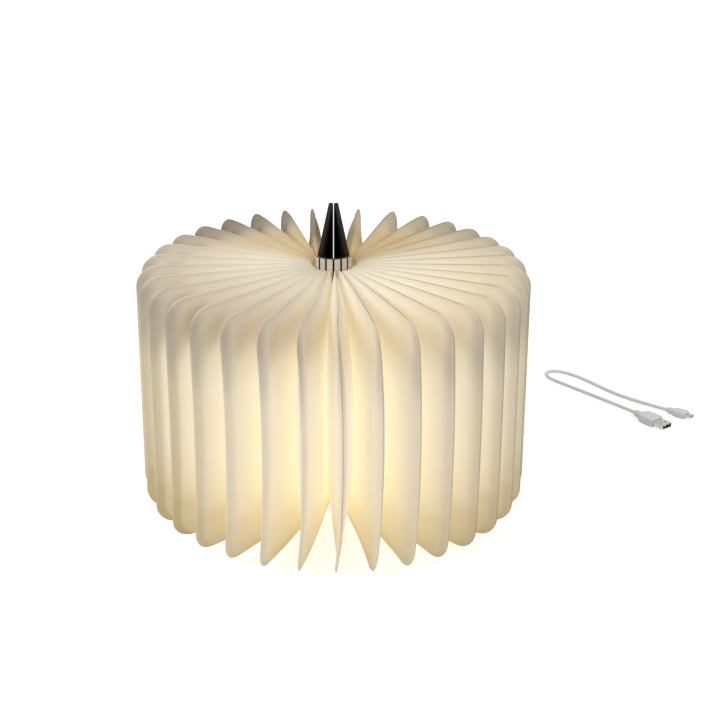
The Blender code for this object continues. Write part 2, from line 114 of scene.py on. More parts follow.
# Leaves as they are drawn here. From the first raised leaf on, the fan's lean would press a
# root into its slat in the closed book.
FIRST_RAISED_LEAF = 10
ROOT_RAISE = 0.0008
PAPER = 0.0003
INNER_STEPS = 9
OUTER_STEPS = 14
CORNER_STEPS = 9
BODY_STEPS = 16
FOLD_CROWDING = 1.7  # above 1 the points of a panel crowd towards its fold

# Covers and spine as they are drawn here
COVER_CORNER_STEPS = 8
COVER_EDGE = 0.0006
COVER_EDGE_STEPS = 3
CLOTH_EDGE_STEPS = 6
WRAP_RISE = 0.0002
SOCKET_SLOT_ACROSS = (-0.00155, 0.00075)
SOCKET_SLOT_HALF = 0.00405
SOCKET_SLOT_DEPTH = 0.0066
SLOT_CUT_PAST = 0.002
SAME_PLACE = 1e-6
BROAD_SIDE = 0.9  # a broad side's normal points across the cover by more than this

# Lead
LEAD_DIAMETER = 0.0032
LEAD_BEND = (0.221, 0.262)
LEAD_HEADING = math.radians(-52)
LEAD_ROUTE = (
    (0.118, -0.0110), (0.110, -0.0110), (0.092, -0.0108), (0.070, -0.0102),
    (0.048, -0.0098), (0.028, -0.0102), (0.012, -0.0108), (0.001, -0.0094),
    (-0.0055, -0.0048), (-0.0072, 0.0012), (-0.0045, 0.0070), (0.003, 0.0112),
    (0.014, 0.0136), (0.032, 0.0140), (0.052, 0.0128), (0.072, 0.0118),
    (0.092, 0.0126), (0.110, 0.0148), (0.124, 0.0176), (0.132, 0.0195),
)
LEAD_RISE_POINTS = 4
LEAD_STEP = 0.003
PLUG_A_HEIGHT = 0.0080
PLUG_MICRO_HEIGHT = 0.0064
PLUG_CORNER_STEPS = 4

# Plug outlines: distance past the cord's end, half width, half height, corner radius
PLUG_A_BODY = (
    (0.0003, 0.0023, 0.0023, 0.0023), (0.0022, 0.0025, 0.0025, 0.0025),
    (0.0026, 0.0033, 0.0029, 0.0028), (0.0060, 0.0036, 0.0031, 0.0028),
    (0.0064, 0.0031, 0.0028, 0.0027), (0.0078, 0.0033, 0.0030, 0.0028),
    (0.0098, 0.0058, 0.0036, 0.0028), (0.0120, 0.0074, 0.0039, 0.0022),
    (0.0150, 0.00775, 0.0040, 0.0016), (0.0265, 0.00775, 0.0040, 0.0013),
    (0.0278, 0.0076, 0.0039, 0.0013), (0.0283, 0.0073, 0.0036, 0.0012),
)
PLUG_MICRO_BODY = (
    (0.0003, 0.0023, 0.0023, 0.0023), (0.0018, 0.0025, 0.0025, 0.0025),
    (0.0022, 0.0031, 0.0028, 0.0026), (0.0048, 0.0033, 0.0029, 0.0026),
    (0.0052, 0.0029, 0.0026, 0.0025), (0.0060, 0.0031, 0.0027, 0.0026),
    (0.0076, 0.0045, 0.0030, 0.0022), (0.0096, 0.0052, 0.0032, 0.0016),
    (0.0190, 0.0052, 0.0032, 0.0011), (0.0199, 0.0050, 0.0031, 0.0011),
    (0.0203, 0.0047, 0.0028, 0.0010),
)

# Plug shells: start, length, half width, half height, wall. Their corners are given as
# shares of the half height and of the outer corner, and their soft lip as a share of the wall.
SHELL_A = (0.0286, 0.0120, 0.0060, 0.00225, 0.0004)
SHELL_MICRO = (0.0206, 0.0056, 0.00345, 0.00095, 0.0003)
SHELL_CORNER = 0.3
SHELL_INNER_CORNER = 0.6
SHELL_LIP = 0.4

# Latch windows: distance past the cord's end, distance across, size
WINDOWS_A = ((0.0352, -0.0028, 0.0024), (0.0352, 0.0028, 0.0024))
WINDOWS_MICRO = ((0.0240, -0.0017, 0.0009), (0.0240, 0.0017, 0.0009))

# Contact block of the larger plug
TONGUE_LOW = Vector((0.02960, -0.0052, -0.00005))
TONGUE_HIGH = Vector((0.0381, 0.0052, 0.00155))
CONTACT_LENGTHS = (0.0072, 0.0062, 0.0062, 0.0072)
CONTACT_PITCH = 0.0022
CONTACT_WIDTH = 0.0010
CONTACT_INSET = 0.0006
CONTACT_RISE = 0.00008
CONTACT_SINK = 0.0001

# Camera
CAMERA_AIM = Vector((0, 0, 0.108))
CAMERA_DISTANCE = 1.3674
CAMERA_ELEVATION = math.radians(22.72)
CAMERA_LENS = 82.2
CAMERA_SHIFT = (0.0368, 0.0236)

# Stage. The lights are given by name, place, size and power.
FLOOR_SIZE = 6.0
FLOOR_GREY = 0.62
FLOOR_LIFT = 0.62
WORLD_LEVEL = 0.62
KEY_POWER = 26.0
FILL_SHARE = 0.62
LIGHTS = (
    ("key light", (-1.7, -1.0, 1.7), 1.2, KEY_POWER),
    ("fill light", (1.6, -1.6, 1.5), 1.6, KEY_POWER * FILL_SHARE),
)


def add_object(name, data):
    made = bpy.data.objects.new(name, data)
    bpy.context.scene.collection.objects.link(made)
    return made


def place_camera():
    camera = bpy.data.cameras.new("camera")
    camera.lens = CAMERA_LENS
    camera.shift_x, camera.shift_y = CAMERA_SHIFT
    holder = add_object("camera", camera)
    back = Vector((0, -math.cos(CAMERA_ELEVATION), math.sin(CAMERA_ELEVATION)))
    holder.location = CAMERA_AIM + CAMERA_DISTANCE * back
    holder.rotation_euler = (math.pi / 2 - CAMERA_ELEVATION, 0, 0)
    bpy.context.scene.camera = holder


# Material tools

def put(tree, socket, value):
    if isinstance(value, bpy.types.NodeSocket):
        tree.links.new(value, socket)
    elif socket.type == "RGBA":
        socket.default_value = (*value[:3], 1)
    else:
        socket.default_value = value


def add_node(tree, kind, inputs=None, **settings):
    """A shader node. Its inputs are given by name or number, as values or other sockets."""
    made = tree.nodes.new(kind)
    for name, value in settings.items():
        setattr(made, name, value)
    for name, value in (inputs or {}).items():
        put(tree, made.inputs[name], value)
    return made


def maths(tree, operation, first, second=0.0, third=0.0, clamp=False):
    return add_node(
        tree, "ShaderNodeMath", {0: first, 1: second, 2: third},
        operation=operation, use_clamp=clamp,
    ).outputs[0]


def product(tree, first, *others):
    for other in others:
        first = maths(tree, "MULTIPLY", first, other)
    return first


def mix(tree, factor, first, second, blend="MIX"):
    """Two colours mixed. The node's inputs 6 and 7 and its output 2 are the ones for colours."""
    made = add_node(
        tree, "ShaderNodeMix", data_type="RGBA", blend_type=blend, clamp_factor=True
    )
    put(tree, made.inputs[0], factor)
    put(tree, made.inputs[6], first)
    put(tree, made.inputs[7], second)
    return made.outputs[2]


def ramp(tree, factor, stops):
    """Colours at places along a factor, with even steps between them."""
    made = add_node(tree, "ShaderNodeValToRGB", {0: factor})
    elements = made.color_ramp.elements
    while len(elements) < len(stops):
        elements.new(0.5)
    for element, (place, colour) in zip(elements, stops):
        element.position = place
        element.color = (*colour, 1)
    return made.outputs[0]


def between(tree, value, start, end, first=0.0, last=1.0):
    """A smooth change from the first value to the last one, between two places."""
    return add_node(
        tree, "ShaderNodeMapRange",
        {"Value": value, "From Min": start, "From Max": end, "To Min": first, "To Max": last},
        interpolation_type="SMOOTHSTEP",
    ).outputs[0]


def band(tree, value, grows, fades, rest=0.0):
    """A mask that grows to 1 between two places and fades to a rest between two others."""
    return product(tree, between(tree, value, *grows), between(tree, value, *fades, 1, rest))


def new_finish(name, roughness, metallic=0.0):
    material = bpy.data.materials.new(name)
    material.use_nodes = True
    tree = material.node_tree
    shader = tree.nodes["Principled BSDF"]
    shader.inputs["Roughness"].default_value = roughness
    shader.inputs["Metallic"].default_value = metallic
    return material, tree, shader


def new_effect(name, inputs, outputs):
    """An empty effect group. Its inputs give a starting value, or None for a vector."""
    tree = bpy.data.node_groups.new(name, "ShaderNodeTree")
    for label, value in inputs.items():
        kind = "NodeSocketVector" if value is None else "NodeSocketFloat"
        made = tree.interface.new_socket(name=label, in_out="INPUT", socket_type=kind)
        if value is not None:
            made.default_value = value
    for label, kind in outputs.items():
        tree.interface.new_socket(name=label, in_out="OUTPUT", socket_type="NodeSocket" + kind)
    return tree, tree.nodes.new("NodeGroupInput").outputs, tree.nodes.new("NodeGroupOutput").inputs


def use_effect(tree, group, inputs):
    made = tree.nodes.new("ShaderNodeGroup")
    made.node_tree = group
    for label, value in inputs.items():
        put(tree, made.inputs[label], value)
    return made.outputs


def object_place(tree):
    return add_node(tree, "ShaderNodeTexCoord").outputs["Object"]


def add_bump(tree, shader, height, distance, strength):
    bump = add_node(
        tree, "ShaderNodeBump", {"Height": height, "Distance": distance, "Strength": strength}
    )
    put(tree, shader.inputs["Normal"], bump.outputs[0])


# Effects

NOISE_MIDDLE = 0.5
STRAND_SHARPNESS = 9.0
CLOUD_IN_TONE = 0.75
CLOUD_IN_HEIGHT = 0.8
SLUB_WANDER = 1.6
SLUB_LIFT = 0.35


def fibre_effect():
    """Spun-bonded paper: long swirled fibres over a soft cloudy ground."""
    tree, given, result = new_effect(
        "paper fibres", {"Place": None, "Scale": 1.0}, {"Tone": "Float", "Height": "Float"}
    )
    sized = add_node(
        tree, "ShaderNodeVectorMath", {0: given["Place"]}, operation="SCALE"
    )
    put(tree, sized.inputs["Scale"], given["Scale"])
    place = sized.outputs[0]
    cloud = add_node(
        tree, "ShaderNodeTexNoise",
        {"Vector": place, "Scale": 55.0, "Detail": 5.0, "Roughness": 0.6},
    ).outputs[0]
    swirl = add_node(
        tree, "ShaderNodeTexNoise",
        {"Vector": place, "Scale": 420.0, "Detail": 3.0, "Distortion": 2.6},
    ).outputs[0]
    strand = maths(tree, "ABSOLUTE", maths(tree, "SUBTRACT", swirl, NOISE_MIDDLE))
    strand = maths(tree, "MULTIPLY", strand, STRAND_SHARPNESS, clamp=True)
    strand = maths(tree, "SUBTRACT", 1.0, strand)
    put(tree, result["Tone"], maths(
        tree, "ADD", product(tree, cloud, CLOUD_IN_TONE), product(tree, strand, 1 - CLOUD_IN_TONE)
    ))
    put(tree, result["Height"], maths(tree, "ADD", strand, product(tree, cloud, CLOUD_IN_HEIGHT)))
    return tree


def weave_effect():
    """Book cloth: crossing threads with a slight slub."""
    tree, given, result = new_effect(
        "book cloth weave", {"Place": None, "Threads": 1500.0},
        {"Tone": "Float", "Height": "Float"},
    )
    slub = add_node(
        tree, "ShaderNodeTexNoise", {"Vector": given["Place"], "Scale": 260.0, "Detail": 3.0}
    ).outputs[0]
    split = add_node(tree, "ShaderNodeSeparateXYZ", {0: given["Place"]}).outputs
    waves = []
    for coordinate in (maths(tree, "ADD", split[0], split[1]), split[2]):
        phase = product(tree, coordinate, given["Threads"])
        phase = maths(tree, "ADD", phase, product(tree, slub, SLUB_WANDER))
        waves.append(maths(tree, "ABSOLUTE", maths(tree, "SINE", phase)))
    thread = maths(tree, "MAXIMUM", *waves)
    put(tree, result["Height"], thread)
    put(tree, result["Tone"], product(tree, thread, maths(tree, "ADD", slub, SLUB_LIFT)))
    return tree


def grain_effect():
    """Fine moulded or brushed grain, drawn out along Z by its stretch."""
    tree, given, result = new_effect(
        "fine grain", {"Place": None, "Scale": 900.0, "Stretch": 1.0},
        {"Tone": "Float", "Height": "Float"},
    )
    split = add_node(tree, "ShaderNodeSeparateXYZ", {0: given["Place"]}).outputs
    drawn = add_node(tree, "ShaderNodeCombineXYZ", {
        0: split[0], 1: split[1], 2: maths(tree, "DIVIDE", split[2], given["Stretch"]),
    }).outputs[0]
    noise = add_node(
        tree, "ShaderNodeTexNoise", {"Vector": drawn, "Scale": given["Scale"], "Detail": 4.0}
    ).outputs[0]
    put(tree, result["Tone"], noise)
    put(tree, result["Height"], noise)
    return tree


# Finishes. Each list of tones gives colours at places along a factor.

# Lamp-lit paper from the valley between two leaves (0) to the outer fold (1)
PAPER_TONES = (
    (0.0, (0.79, 0.75, 0.64)), (0.35, (0.78, 0.74, 0.64)), (0.8, (0.75, 0.71, 0.62)),
    (1.0, (0.72, 0.685, 0.595)),
)
GLOW_COLOURS = (
    (0.0, (0.61, 0.56, 0.43)), (0.10, (0.59, 0.54, 0.40)), (0.4, (0.56, 0.50, 0.36)),
    (0.75, (0.44, 0.38, 0.26)), (1.0, (0.23, 0.19, 0.13)),
)
# The glow's level from a leaf's tail (0) to its head (1)
GLOW_BY_HEIGHT = (
    (0.0, (1.02, 0.92, 0.66)), (0.20, (1.05, 0.99, 0.83)), (0.45, (1.0, 0.98, 0.92)),
    (0.70, (0.95, 0.95, 0.95)), (0.88, (0.70, 0.68, 0.66)), (1.0, (0.50, 0.49, 0.48)),
)
OUTER_GLOW = 0.62
INNER_GLOW = 0.70
LEAF_STEP = 0.31  # from leaf to leaf in the fibres' space, so that no two leaves look alike
LEFT_LIMIT = -0.5  # leaf numbers below this are on the left
TAIL_TONE_CURVE = 0.35
FIBRE_TINT = (0.62, 0.55, 0.40)
FIBRE_TINT_SHARE = 0.22
FIBRE_GLOW_SPREAD = 0.35
FIBRE_GLOW_BASE = 0.82

# Rims: widths along the fold and the head, and strengths from a leaf's inner to its outer part.
# The rims are a painted highlight on the left-hand leaves and painted shade on the right-hand
# ones, where their glow also drops.
FOLD_RIM = 0.0016
HEAD_RIM = 0.0008
RIM_RADII = (0.030, 0.100)
RIM_STRENGTHS = (0.10, 0.85)
LEFT_RIM_HIGHLIGHT = (0.84, 0.80, 0.70)
RIGHT_RIM_SHADE = (0.50, 0.44, 0.35)
RIM_GLOW = (0.02, 0.015, 0.01)
RIM_GLOW_SHARE = 0.70

# Painted shade on the leaves: the shadows they throw on each other, a darker tail, dark corners
# on the leaves behind, and greyer heads on the left from the way the light falls. The roots of
# the leaves behind get a painted golden cast of lamplight. GROWS and FADES are depths below the
# head between which a shade comes or goes, down to its REST. WIDTH is the same inwards from the
# fold, and LEAVES is the same in leaves from the middle, where its MIDDLE stays. AMOUNTS are for
# the right and the left side.
COOL_SHADE = (0.74, 0.74, 0.76)
COOL_GROWS, COOL_FADES, COOL_REST = (0.0, 0.012), (0.030, 0.075), 0.25
COOL_WIDTH = (0.004, 0.015)
OLIVE_SHADE = (0.60, 0.56, 0.42)
OLIVE_GROWS, OLIVE_FADES = (0.0, 0.016), (0.022, 0.058)
OLIVE_BORDER_DEPTHS, OLIVE_BORDER = (0.004, 0.062), (0.030, 0.006)
OLIVE_INTO_BORDER, OLIVE_PAST_BORDER = (-0.018, -0.003), (-0.001, 0.006)
OLIVE_LEAVES, OLIVE_MIDDLE = (3, 6), 0.25
OLIVE_AMOUNTS = (0.30, 0.75)
STRIP_SHADE = (0.84, 0.81, 0.72)
STRIP_GROWS, STRIP_WIDTH = (0.025, 0.060), (0.005, 0.010)
STRIP_LEAVES, STRIP_MIDDLE = (3, 5), 0.3
STRIP_AMOUNTS = (0.45, 1.0)
TAIL_SHADE = (0.95, 0.92, 0.83)
TAIL_GROWS = (LEAF_HEIGHT - 0.044, LEAF_HEIGHT - 0.030)
TAIL_LEAVES, TAIL_MIDDLE = (2, 4), 0.2
REAR_SHADE = (0.34, 0.33, 0.31)
REAR_FADES, REAR_WIDTH = (0.014, 0.044), (0.010, 0.060)
REAR_LEAVES = (9.5, 13)
LAST_LEAVES, LAST_WIDER = (15.2, 15.8), 0.055
REAR_AMOUNTS = (0.38, 0.82)
REAR_BASE_SHADE = (0.84, 0.74, 0.55)
REAR_BASE_WIDTH = (0.015, 0.075)
LEFT_HEAD_SHADE = (0.83, 0.79, 0.75)
RIGHT_HEAD_SHADE = (0.97, 0.93, 0.85)
HEAD_FADES, HEAD_WIDTH, HEAD_REST = (0.014, 0.040), (0.030, 0.110), 0.15

# Other finishes
ENDPAPER_TONES = ((0.2, (0.66, 0.60, 0.46)), (0.8, (0.80, 0.74, 0.60)))
CLOTH_TONES = ((0.0, (0.004, 0.003, 0.003)), (0.9, (0.016, 0.011, 0.009)))
CLOTH_ROUGHNESS = 0.82
CLOTH_ROUGHNESS_SPREAD = 0.2
LINER_TONES = ((0.2, (0.52, 0.44, 0.34)), (0.85, (0.70, 0.62, 0.51)))
SLAT_SIDE_COLOUR = (0.010, 0.008, 0.007)
PAGE_SIDE = 0.8  # a slat's face that turns towards the pages by more than this is lined
GRAIN_DARK, GRAIN_LIGHT = 0.25, 0.75
METAL_ROUGHNESS_SPREAD = 0.12
STRIP_TONES = ((0.3, (0.72, 0.72, 0.68)), (0.7, (0.82, 0.82, 0.78)))
# A faint painted glow of the chips' light on the board round them
STRIP_BOARD_PAINTED_GLOW = (0.10, 0.08, 0.04)
CHIP_START = 0.0041
CHIP_COLOUR = (0.90, 0.72, 0.30)
CHIP_GLOW = (1.0, 0.78, 0.40)


def by_side(tree, left, amounts):
    """An amount for the right-hand leaves and another one for the left-hand leaves."""
    on_right, on_left = amounts
    return maths(tree, "MULTIPLY_ADD", left, on_left - on_right, third=on_right)


def leaf_painted_shade(tree, inward, depth, number, left):
    """Painted shade on a leaf, from how far a place lies inside its fold and below its head.

    Under the upper corner the painted shadow is cool by the fold and olive inside that. A
    faint painted shadow strip runs on down the fold, and the tail is painted a little darker.
    The corners of the leaves behind are painted dark and their roots get a painted golden cast
    of lamplight. Painted shade makes the heads on the left greyer than the ones on the right.
    """
    right = maths(tree, "SUBTRACT", 1.0, left)
    turned = maths(tree, "ABSOLUTE", number)
    cool = product(
        tree, between(tree, inward, *COOL_WIDTH, 1, 0),
        band(tree, depth, COOL_GROWS, COOL_FADES, COOL_REST),
    )
    border = between(tree, depth, *OLIVE_BORDER_DEPTHS, *OLIVE_BORDER)
    olive = product(
        tree,
        band(tree, maths(tree, "SUBTRACT", inward, border), OLIVE_INTO_BORDER, OLIVE_PAST_BORDER),
        band(tree, depth, OLIVE_GROWS, OLIVE_FADES),
        between(tree, turned, *OLIVE_LEAVES, OLIVE_MIDDLE, 1),
        by_side(tree, left, OLIVE_AMOUNTS),
    )
    strip = product(
        tree, between(tree, inward, *STRIP_WIDTH, 1, 0), between(tree, depth, *STRIP_GROWS),
        between(tree, turned, *STRIP_LEAVES, STRIP_MIDDLE, 1),
        by_side(tree, left, STRIP_AMOUNTS),
    )
    tail = product(
        tree, between(tree, depth, *TAIL_GROWS),
        between(tree, turned, *TAIL_LEAVES, TAIL_MIDDLE, 1),
    )
    behind = product(
        tree, between(tree, turned, *REAR_LEAVES), between(tree, depth, *REAR_FADES, 1, 0)
    )
    last = between(tree, turned, *LAST_LEAVES, 0, LAST_WIDER)
    rear = product(
        tree, behind, between(tree, maths(tree, "SUBTRACT", inward, last), *REAR_WIDTH, 1, 0),
        by_side(tree, left, REAR_AMOUNTS),
    )
    base = product(tree, behind, between(tree, inward, *REAR_BASE_WIDTH))
    head = product(
        tree, between(tree, depth, *HEAD_FADES, 1, 0),
        between(tree, inward, *HEAD_WIDTH, 1, HEAD_REST),
    )
    shade = mix(tree, cool, (1, 1, 1), COOL_SHADE)
    for mask, colour in (
        (olive, OLIVE_SHADE), (strip, STRIP_SHADE), (tail, TAIL_SHADE),
        (rear, REAR_SHADE), (base, REAR_BASE_SHADE),
        (product(tree, head, left), LEFT_HEAD_SHADE),
        (product(tree, head, right), RIGHT_HEAD_SHADE),
    ):
        shade = mix(tree, mask, shade, colour, "MULTIPLY")
    return shade


def leaf_finish(name, glow):
    """Paper whose own attributes say where it lies on its leaf."""
    material, tree, shader = new_finish(name, roughness=0.8)
    share = add_node(tree, "ShaderNodeAttribute", attribute_name="leaf_share").outputs["Fac"]
    inward = add_node(tree, "ShaderNodeAttribute", attribute_name="leaf_inward").outputs["Fac"]
    place = add_node(tree, "ShaderNodeAttribute", attribute_name="leaf_place").outputs["Vector"]
    radius, height, order = add_node(tree, "ShaderNodeSeparateXYZ", {0: place}).outputs
    depth = maths(tree, "SUBTRACT", LEAF_HEIGHT, height)
    number = maths(tree, "DIVIDE", order, LEAF_STEP)
    left = maths(tree, "LESS_THAN", number, LEFT_LIMIT)
    right = maths(tree, "SUBTRACT", 1.0, left)
    shade = leaf_painted_shade(tree, inward, depth, number, left)
    fibres = use_effect(tree, FIBRES, {"Place": place, "Scale": 1.0})

    tone = ramp(tree, share, PAPER_TONES)
    tinted = product(tree, fibres["Tone"], FIBRE_TINT_SHARE)
    tone = mix(tree, tinted, tone, FIBRE_TINT, "MULTIPLY")
    rim = product(
        tree,
        maths(
            tree, "MAXIMUM", between(tree, inward, 0, FOLD_RIM, 1, 0),
            between(tree, depth, 0, HEAD_RIM, 1, 0),
        ),
        between(tree, radius, *RIM_RADII, *RIM_STRENGTHS),
    )
    # Painted highlight on the rims of the left-hand leaves, painted shade on those of the
    # right-hand ones
    tone = mix(tree, rim, tone, mix(tree, right, LEFT_RIM_HIGHLIGHT, RIGHT_RIM_SHADE))
    put(tree, shader.inputs["Base Color"], mix(tree, 1.0, tone, shade, "MULTIPLY"))

    lit = ramp(tree, share, GLOW_COLOURS)
    level = ramp(tree, maths(tree, "DIVIDE", height, LEAF_HEIGHT), GLOW_BY_HEIGHT)
    lit = mix(tree, 1.0, lit, level, "MULTIPLY")
    cloud = product(tree, fibres["Tone"], FIBRE_GLOW_SPREAD)
    lit = mix(tree, 1.0, lit, maths(tree, "ADD", cloud, FIBRE_GLOW_BASE), "MULTIPLY")
    # Painted shade: the glow drops along the rims of the right-hand leaves
    lit = mix(tree, product(tree, rim, right, RIM_GLOW_SHARE), lit, RIM_GLOW)
    put(tree, shader.inputs["Emission Color"], mix(tree, 1.0, lit, shade, "MULTIPLY"))
    shader.inputs["Emission Strength"].default_value = glow
    add_bump(tree, shader, fibres["Height"], distance=0.00012, strength=0.25)
    return material


def paper_finish():
    """Cream liner paper inside the covers."""
    material, tree, shader = new_finish("endpaper", roughness=0.75)
    fibres = use_effect(tree, FIBRES, {"Place": object_place(tree), "Scale": 1.0})
    put(tree, shader.inputs["Base Color"], ramp(tree, fibres["Tone"], ENDPAPER_TONES))
    add_bump(tree, shader, fibres["Height"], distance=0.0001, strength=0.3)
    return material


def cloth_finish():
    material, tree, shader = new_finish("black book cloth", roughness=0.6)
    weave = use_effect(tree, WEAVE, {"Place": object_place(tree)})
    put(tree, shader.inputs["Base Color"], ramp(tree, weave["Tone"], CLOTH_TONES))
    gloss = product(tree, weave["Tone"], CLOTH_ROUGHNESS_SPREAD)
    put(tree, shader.inputs["Roughness"], maths(tree, "SUBTRACT", CLOTH_ROUGHNESS, gloss))
    shader.inputs["Specular IOR Level"].default_value = 0.03
    add_bump(tree, shader, weave["Height"], distance=0.00006, strength=0.35)
    return material


def slat_finish():
    """Beige liner on the page side, and black cloth on the slat's sides and ends."""
    material, tree, shader = new_finish("slat liner", roughness=0.7)
    place = object_place(tree)
    fibres = use_effect(tree, FIBRES, {"Place": place, "Scale": 1.6})
    outwards = add_node(
        tree, "ShaderNodeVectorMath", {0: place, 1: (1, 1, 0)}, operation="MULTIPLY"
    ).outputs[0]
    outwards = add_node(
        tree, "ShaderNodeVectorMath", {0: outwards}, operation="NORMALIZE"
    ).outputs[0]
    facing = add_node(
        tree, "ShaderNodeVectorMath",
        {0: add_node(tree, "ShaderNodeTexCoord").outputs["Normal"], 1: outwards},
        operation="DOT_PRODUCT",
    ).outputs["Value"]
    page_side = maths(tree, "GREATER_THAN", facing, PAGE_SIDE)
    liner = ramp(tree, fibres["Tone"], LINER_TONES)
    put(tree, shader.inputs["Base Color"], mix(tree, page_side, SLAT_SIDE_COLOUR, liner))
    add_bump(tree, shader, fibres["Height"], distance=0.0001, strength=0.3)
    return material


def grain_colour(tree, grain, dark, light):
    return ramp(tree, grain["Tone"], ((GRAIN_DARK, dark), (GRAIN_LIGHT, light)))


def moulded_finish(name, dark, light, roughness):
    material, tree, shader = new_finish(name, roughness)
    grain = use_effect(tree, GRAIN, {"Place": object_place(tree), "Scale": 1400.0})
    put(tree, shader.inputs["Base Color"], grain_colour(tree, grain, dark, light))
    add_bump(tree, shader, grain["Height"], distance=0.00004, strength=0.3)
    return material


def metal_finish(name, dark, light, roughness, stretch=1.0):
    material, tree, shader = new_finish(name, roughness, metallic=1.0)
    grain = use_effect(
        tree, GRAIN, {"Place": object_place(tree), "Scale": 1100.0, "Stretch": stretch}
    )
    put(tree, shader.inputs["Base Color"], grain_colour(tree, grain, dark, light))
    put(tree, shader.inputs["Roughness"], maths(
        tree, "ADD", product(tree, grain["Tone"], METAL_ROUGHNESS_SPREAD),
        roughness - METAL_ROUGHNESS_SPREAD / 2,
    ))
    add_bump(tree, shader, grain["Height"], distance=0.00002, strength=0.25)
    return material


def strip_finish(name, side):
    """White circuit strip whose chips stand in front of it and glow warm."""
    material, tree, shader = new_finish(name, roughness=0.45)
    place = object_place(tree)
    grain = use_effect(tree, GRAIN, {"Place": place, "Scale": 1500.0})
    facing = SLAT_TURN / 2 * side
    outwards = add_node(
        tree, "ShaderNodeVectorMath",
        {0: place, 1: (math.sin(facing), -math.cos(facing), 0)}, operation="DOT_PRODUCT",
    ).outputs["Value"]
    chip = maths(tree, "GREATER_THAN", outwards, PIVOT_RADIUS * math.cos(facing) + CHIP_START)
    board = ramp(tree, grain["Tone"], STRIP_TONES)
    put(tree, shader.inputs["Base Color"], mix(tree, chip, board, CHIP_COLOUR))
    # The board round the chips carries a faint painted glow of their light
    put(tree, shader.inputs["Emission Color"], mix(tree, chip, STRIP_BOARD_PAINTED_GLOW, CHIP_GLOW))
    shader.inputs["Emission Strength"].default_value = 1.0
    return material


# Mesh tools

def mesh_of(name, bm):
    mesh = bpy.data.meshes.new(name)
    bm.to_mesh(mesh)
    bm.free()
    return mesh


def new_piece(name, bm, finish, body, matrix=None):
    """A piece whose shape is given in the frame of the solids or, with a matrix, in its own."""
    if matrix is not None:
        bmesh.ops.transform(bm, matrix=matrix, verts=bm.verts)
    bmesh.ops.recalc_face_normals(bm, faces=bm.faces)
    mesh = mesh_of(name, bm)
    mesh.materials.append(FINISHES[finish])
    obj = add_object(name, mesh)
    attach(obj, body)
    return obj


def apply_modifiers(obj):
    graph = bpy.context.evaluated_depsgraph_get()
    done = bpy.data.meshes.new_from_object(obj.evaluated_get(graph), depsgraph=graph)
    obj.modifiers.clear()
    obj.data = done


def smooth_faces(obj, sharp_past):
    """Smooth shading. An edge stays sharp where its faces turn by more than these degrees."""
    mesh = obj.data
    bm = bmesh.new()
    bm.from_mesh(mesh)
    for face in bm.faces:
        face.smooth = True
    for edge in bm.edges:
        if len(edge.link_faces) == 2 and edge.calc_face_angle(0) > math.radians(sharp_past):
            edge.smooth = False
    bm.to_mesh(mesh)
    bm.free()


def add_block(bm, low, high):
    low, high = Vector(low), Vector(high)
    place = Matrix.Translation((low + high) / 2) @ Matrix.Diagonal((*(high - low), 1))
    return bmesh.ops.create_cube(bm, size=1, matrix=place)["verts"]


def cut_block(obj, low, high, matrix):
    """Cuts a block out of a piece. The block is given in the piece's own lengths."""
    bm = bmesh.new()
    add_block(bm, low, high)
    bmesh.ops.transform(bm, matrix=matrix, verts=bm.verts)
    bmesh.ops.recalc_face_normals(bm, faces=bm.faces)
    cutter = add_object("cutter", mesh_of("cutter", bm))
    cut = obj.modifiers.new("cut", "BOOLEAN")
    cut.operation = "DIFFERENCE"
    cut.object = cutter
    apply_modifiers(obj)
    bpy.data.objects.remove(cutter, do_unlink=True)


def bevel_edges(bm, edges, width, steps):
    bmesh.ops.bevel(
        bm, geom=edges, offset=width, segments=steps, profile=0.5, affect="EDGES",
        clamp_overlap=True,
    )


def loft(sections):
    """A closed skin through these sections, with a cap at each end."""
    bm = bmesh.new()
    rings = [[bm.verts.new(point) for point in section] for section in sections]
    count = len(rings[0])
    for ring, after in zip(rings, rings[1:]):
        for order in range(count):
            following = (order + 1) % count
            bm.faces.new((ring[order], ring[following], after[following], after[order]))
    bm.faces.new(rings[0][::-1])
    bm.faces.new(rings[-1])
    return bm


# Leaves

def cover_limit(radius):
    """The angle at which a circle of this radius meets the page side of the right cover."""
    offset = COVER_PIVOT.x * math.cos(COVER_LEAN) + COVER_PIVOT.y * math.sin(COVER_LEAN)
    offset += ENDPAPER_FACE + SEAT_GAP
    return COVER_LEAN + math.pi - math.asin(min(1, offset / radius))


def fan_angle(angle, radius):
    """The fan is evenly spaced outside, and near its axis it leaves room for the covers."""
    squeeze = max(0, FAN_END - cover_limit(radius))
    return angle - math.copysign(squeeze * (angle / FAN_END) ** 2, angle)


def leaf_start(number):
    """The radius at which a leaf starts, so that its edge lies on the flat spine when closed."""
    angle = number * LEAF_TURN
    root = LEAF_ROOT if abs(number) <= LEAVES_OVER_STRIP else SLAT_ROOT
    if number >= FIRST_RAISED_LEAF:
        root += ROOT_RAISE
    radius = root
    for _ in range(LEAF_START_ROUNDS):
        radius = root / math.cos(fan_angle(angle, radius) - angle)
    return radius


def leaf_edge(number, height):
    """How far a leaf reaches at this height above its tail, with its rounded corners."""
    inset = LEAF_CORNER - min(height, LEAF_HEIGHT - height, LEAF_CORNER)
    pull = LEAF_SIDE_PULL * math.sin(number * LEAF_TURN) ** 2
    return LEAF_REACH - pull - LEAF_CORNER + math.sqrt(LEAF_CORNER ** 2 - inset ** 2)


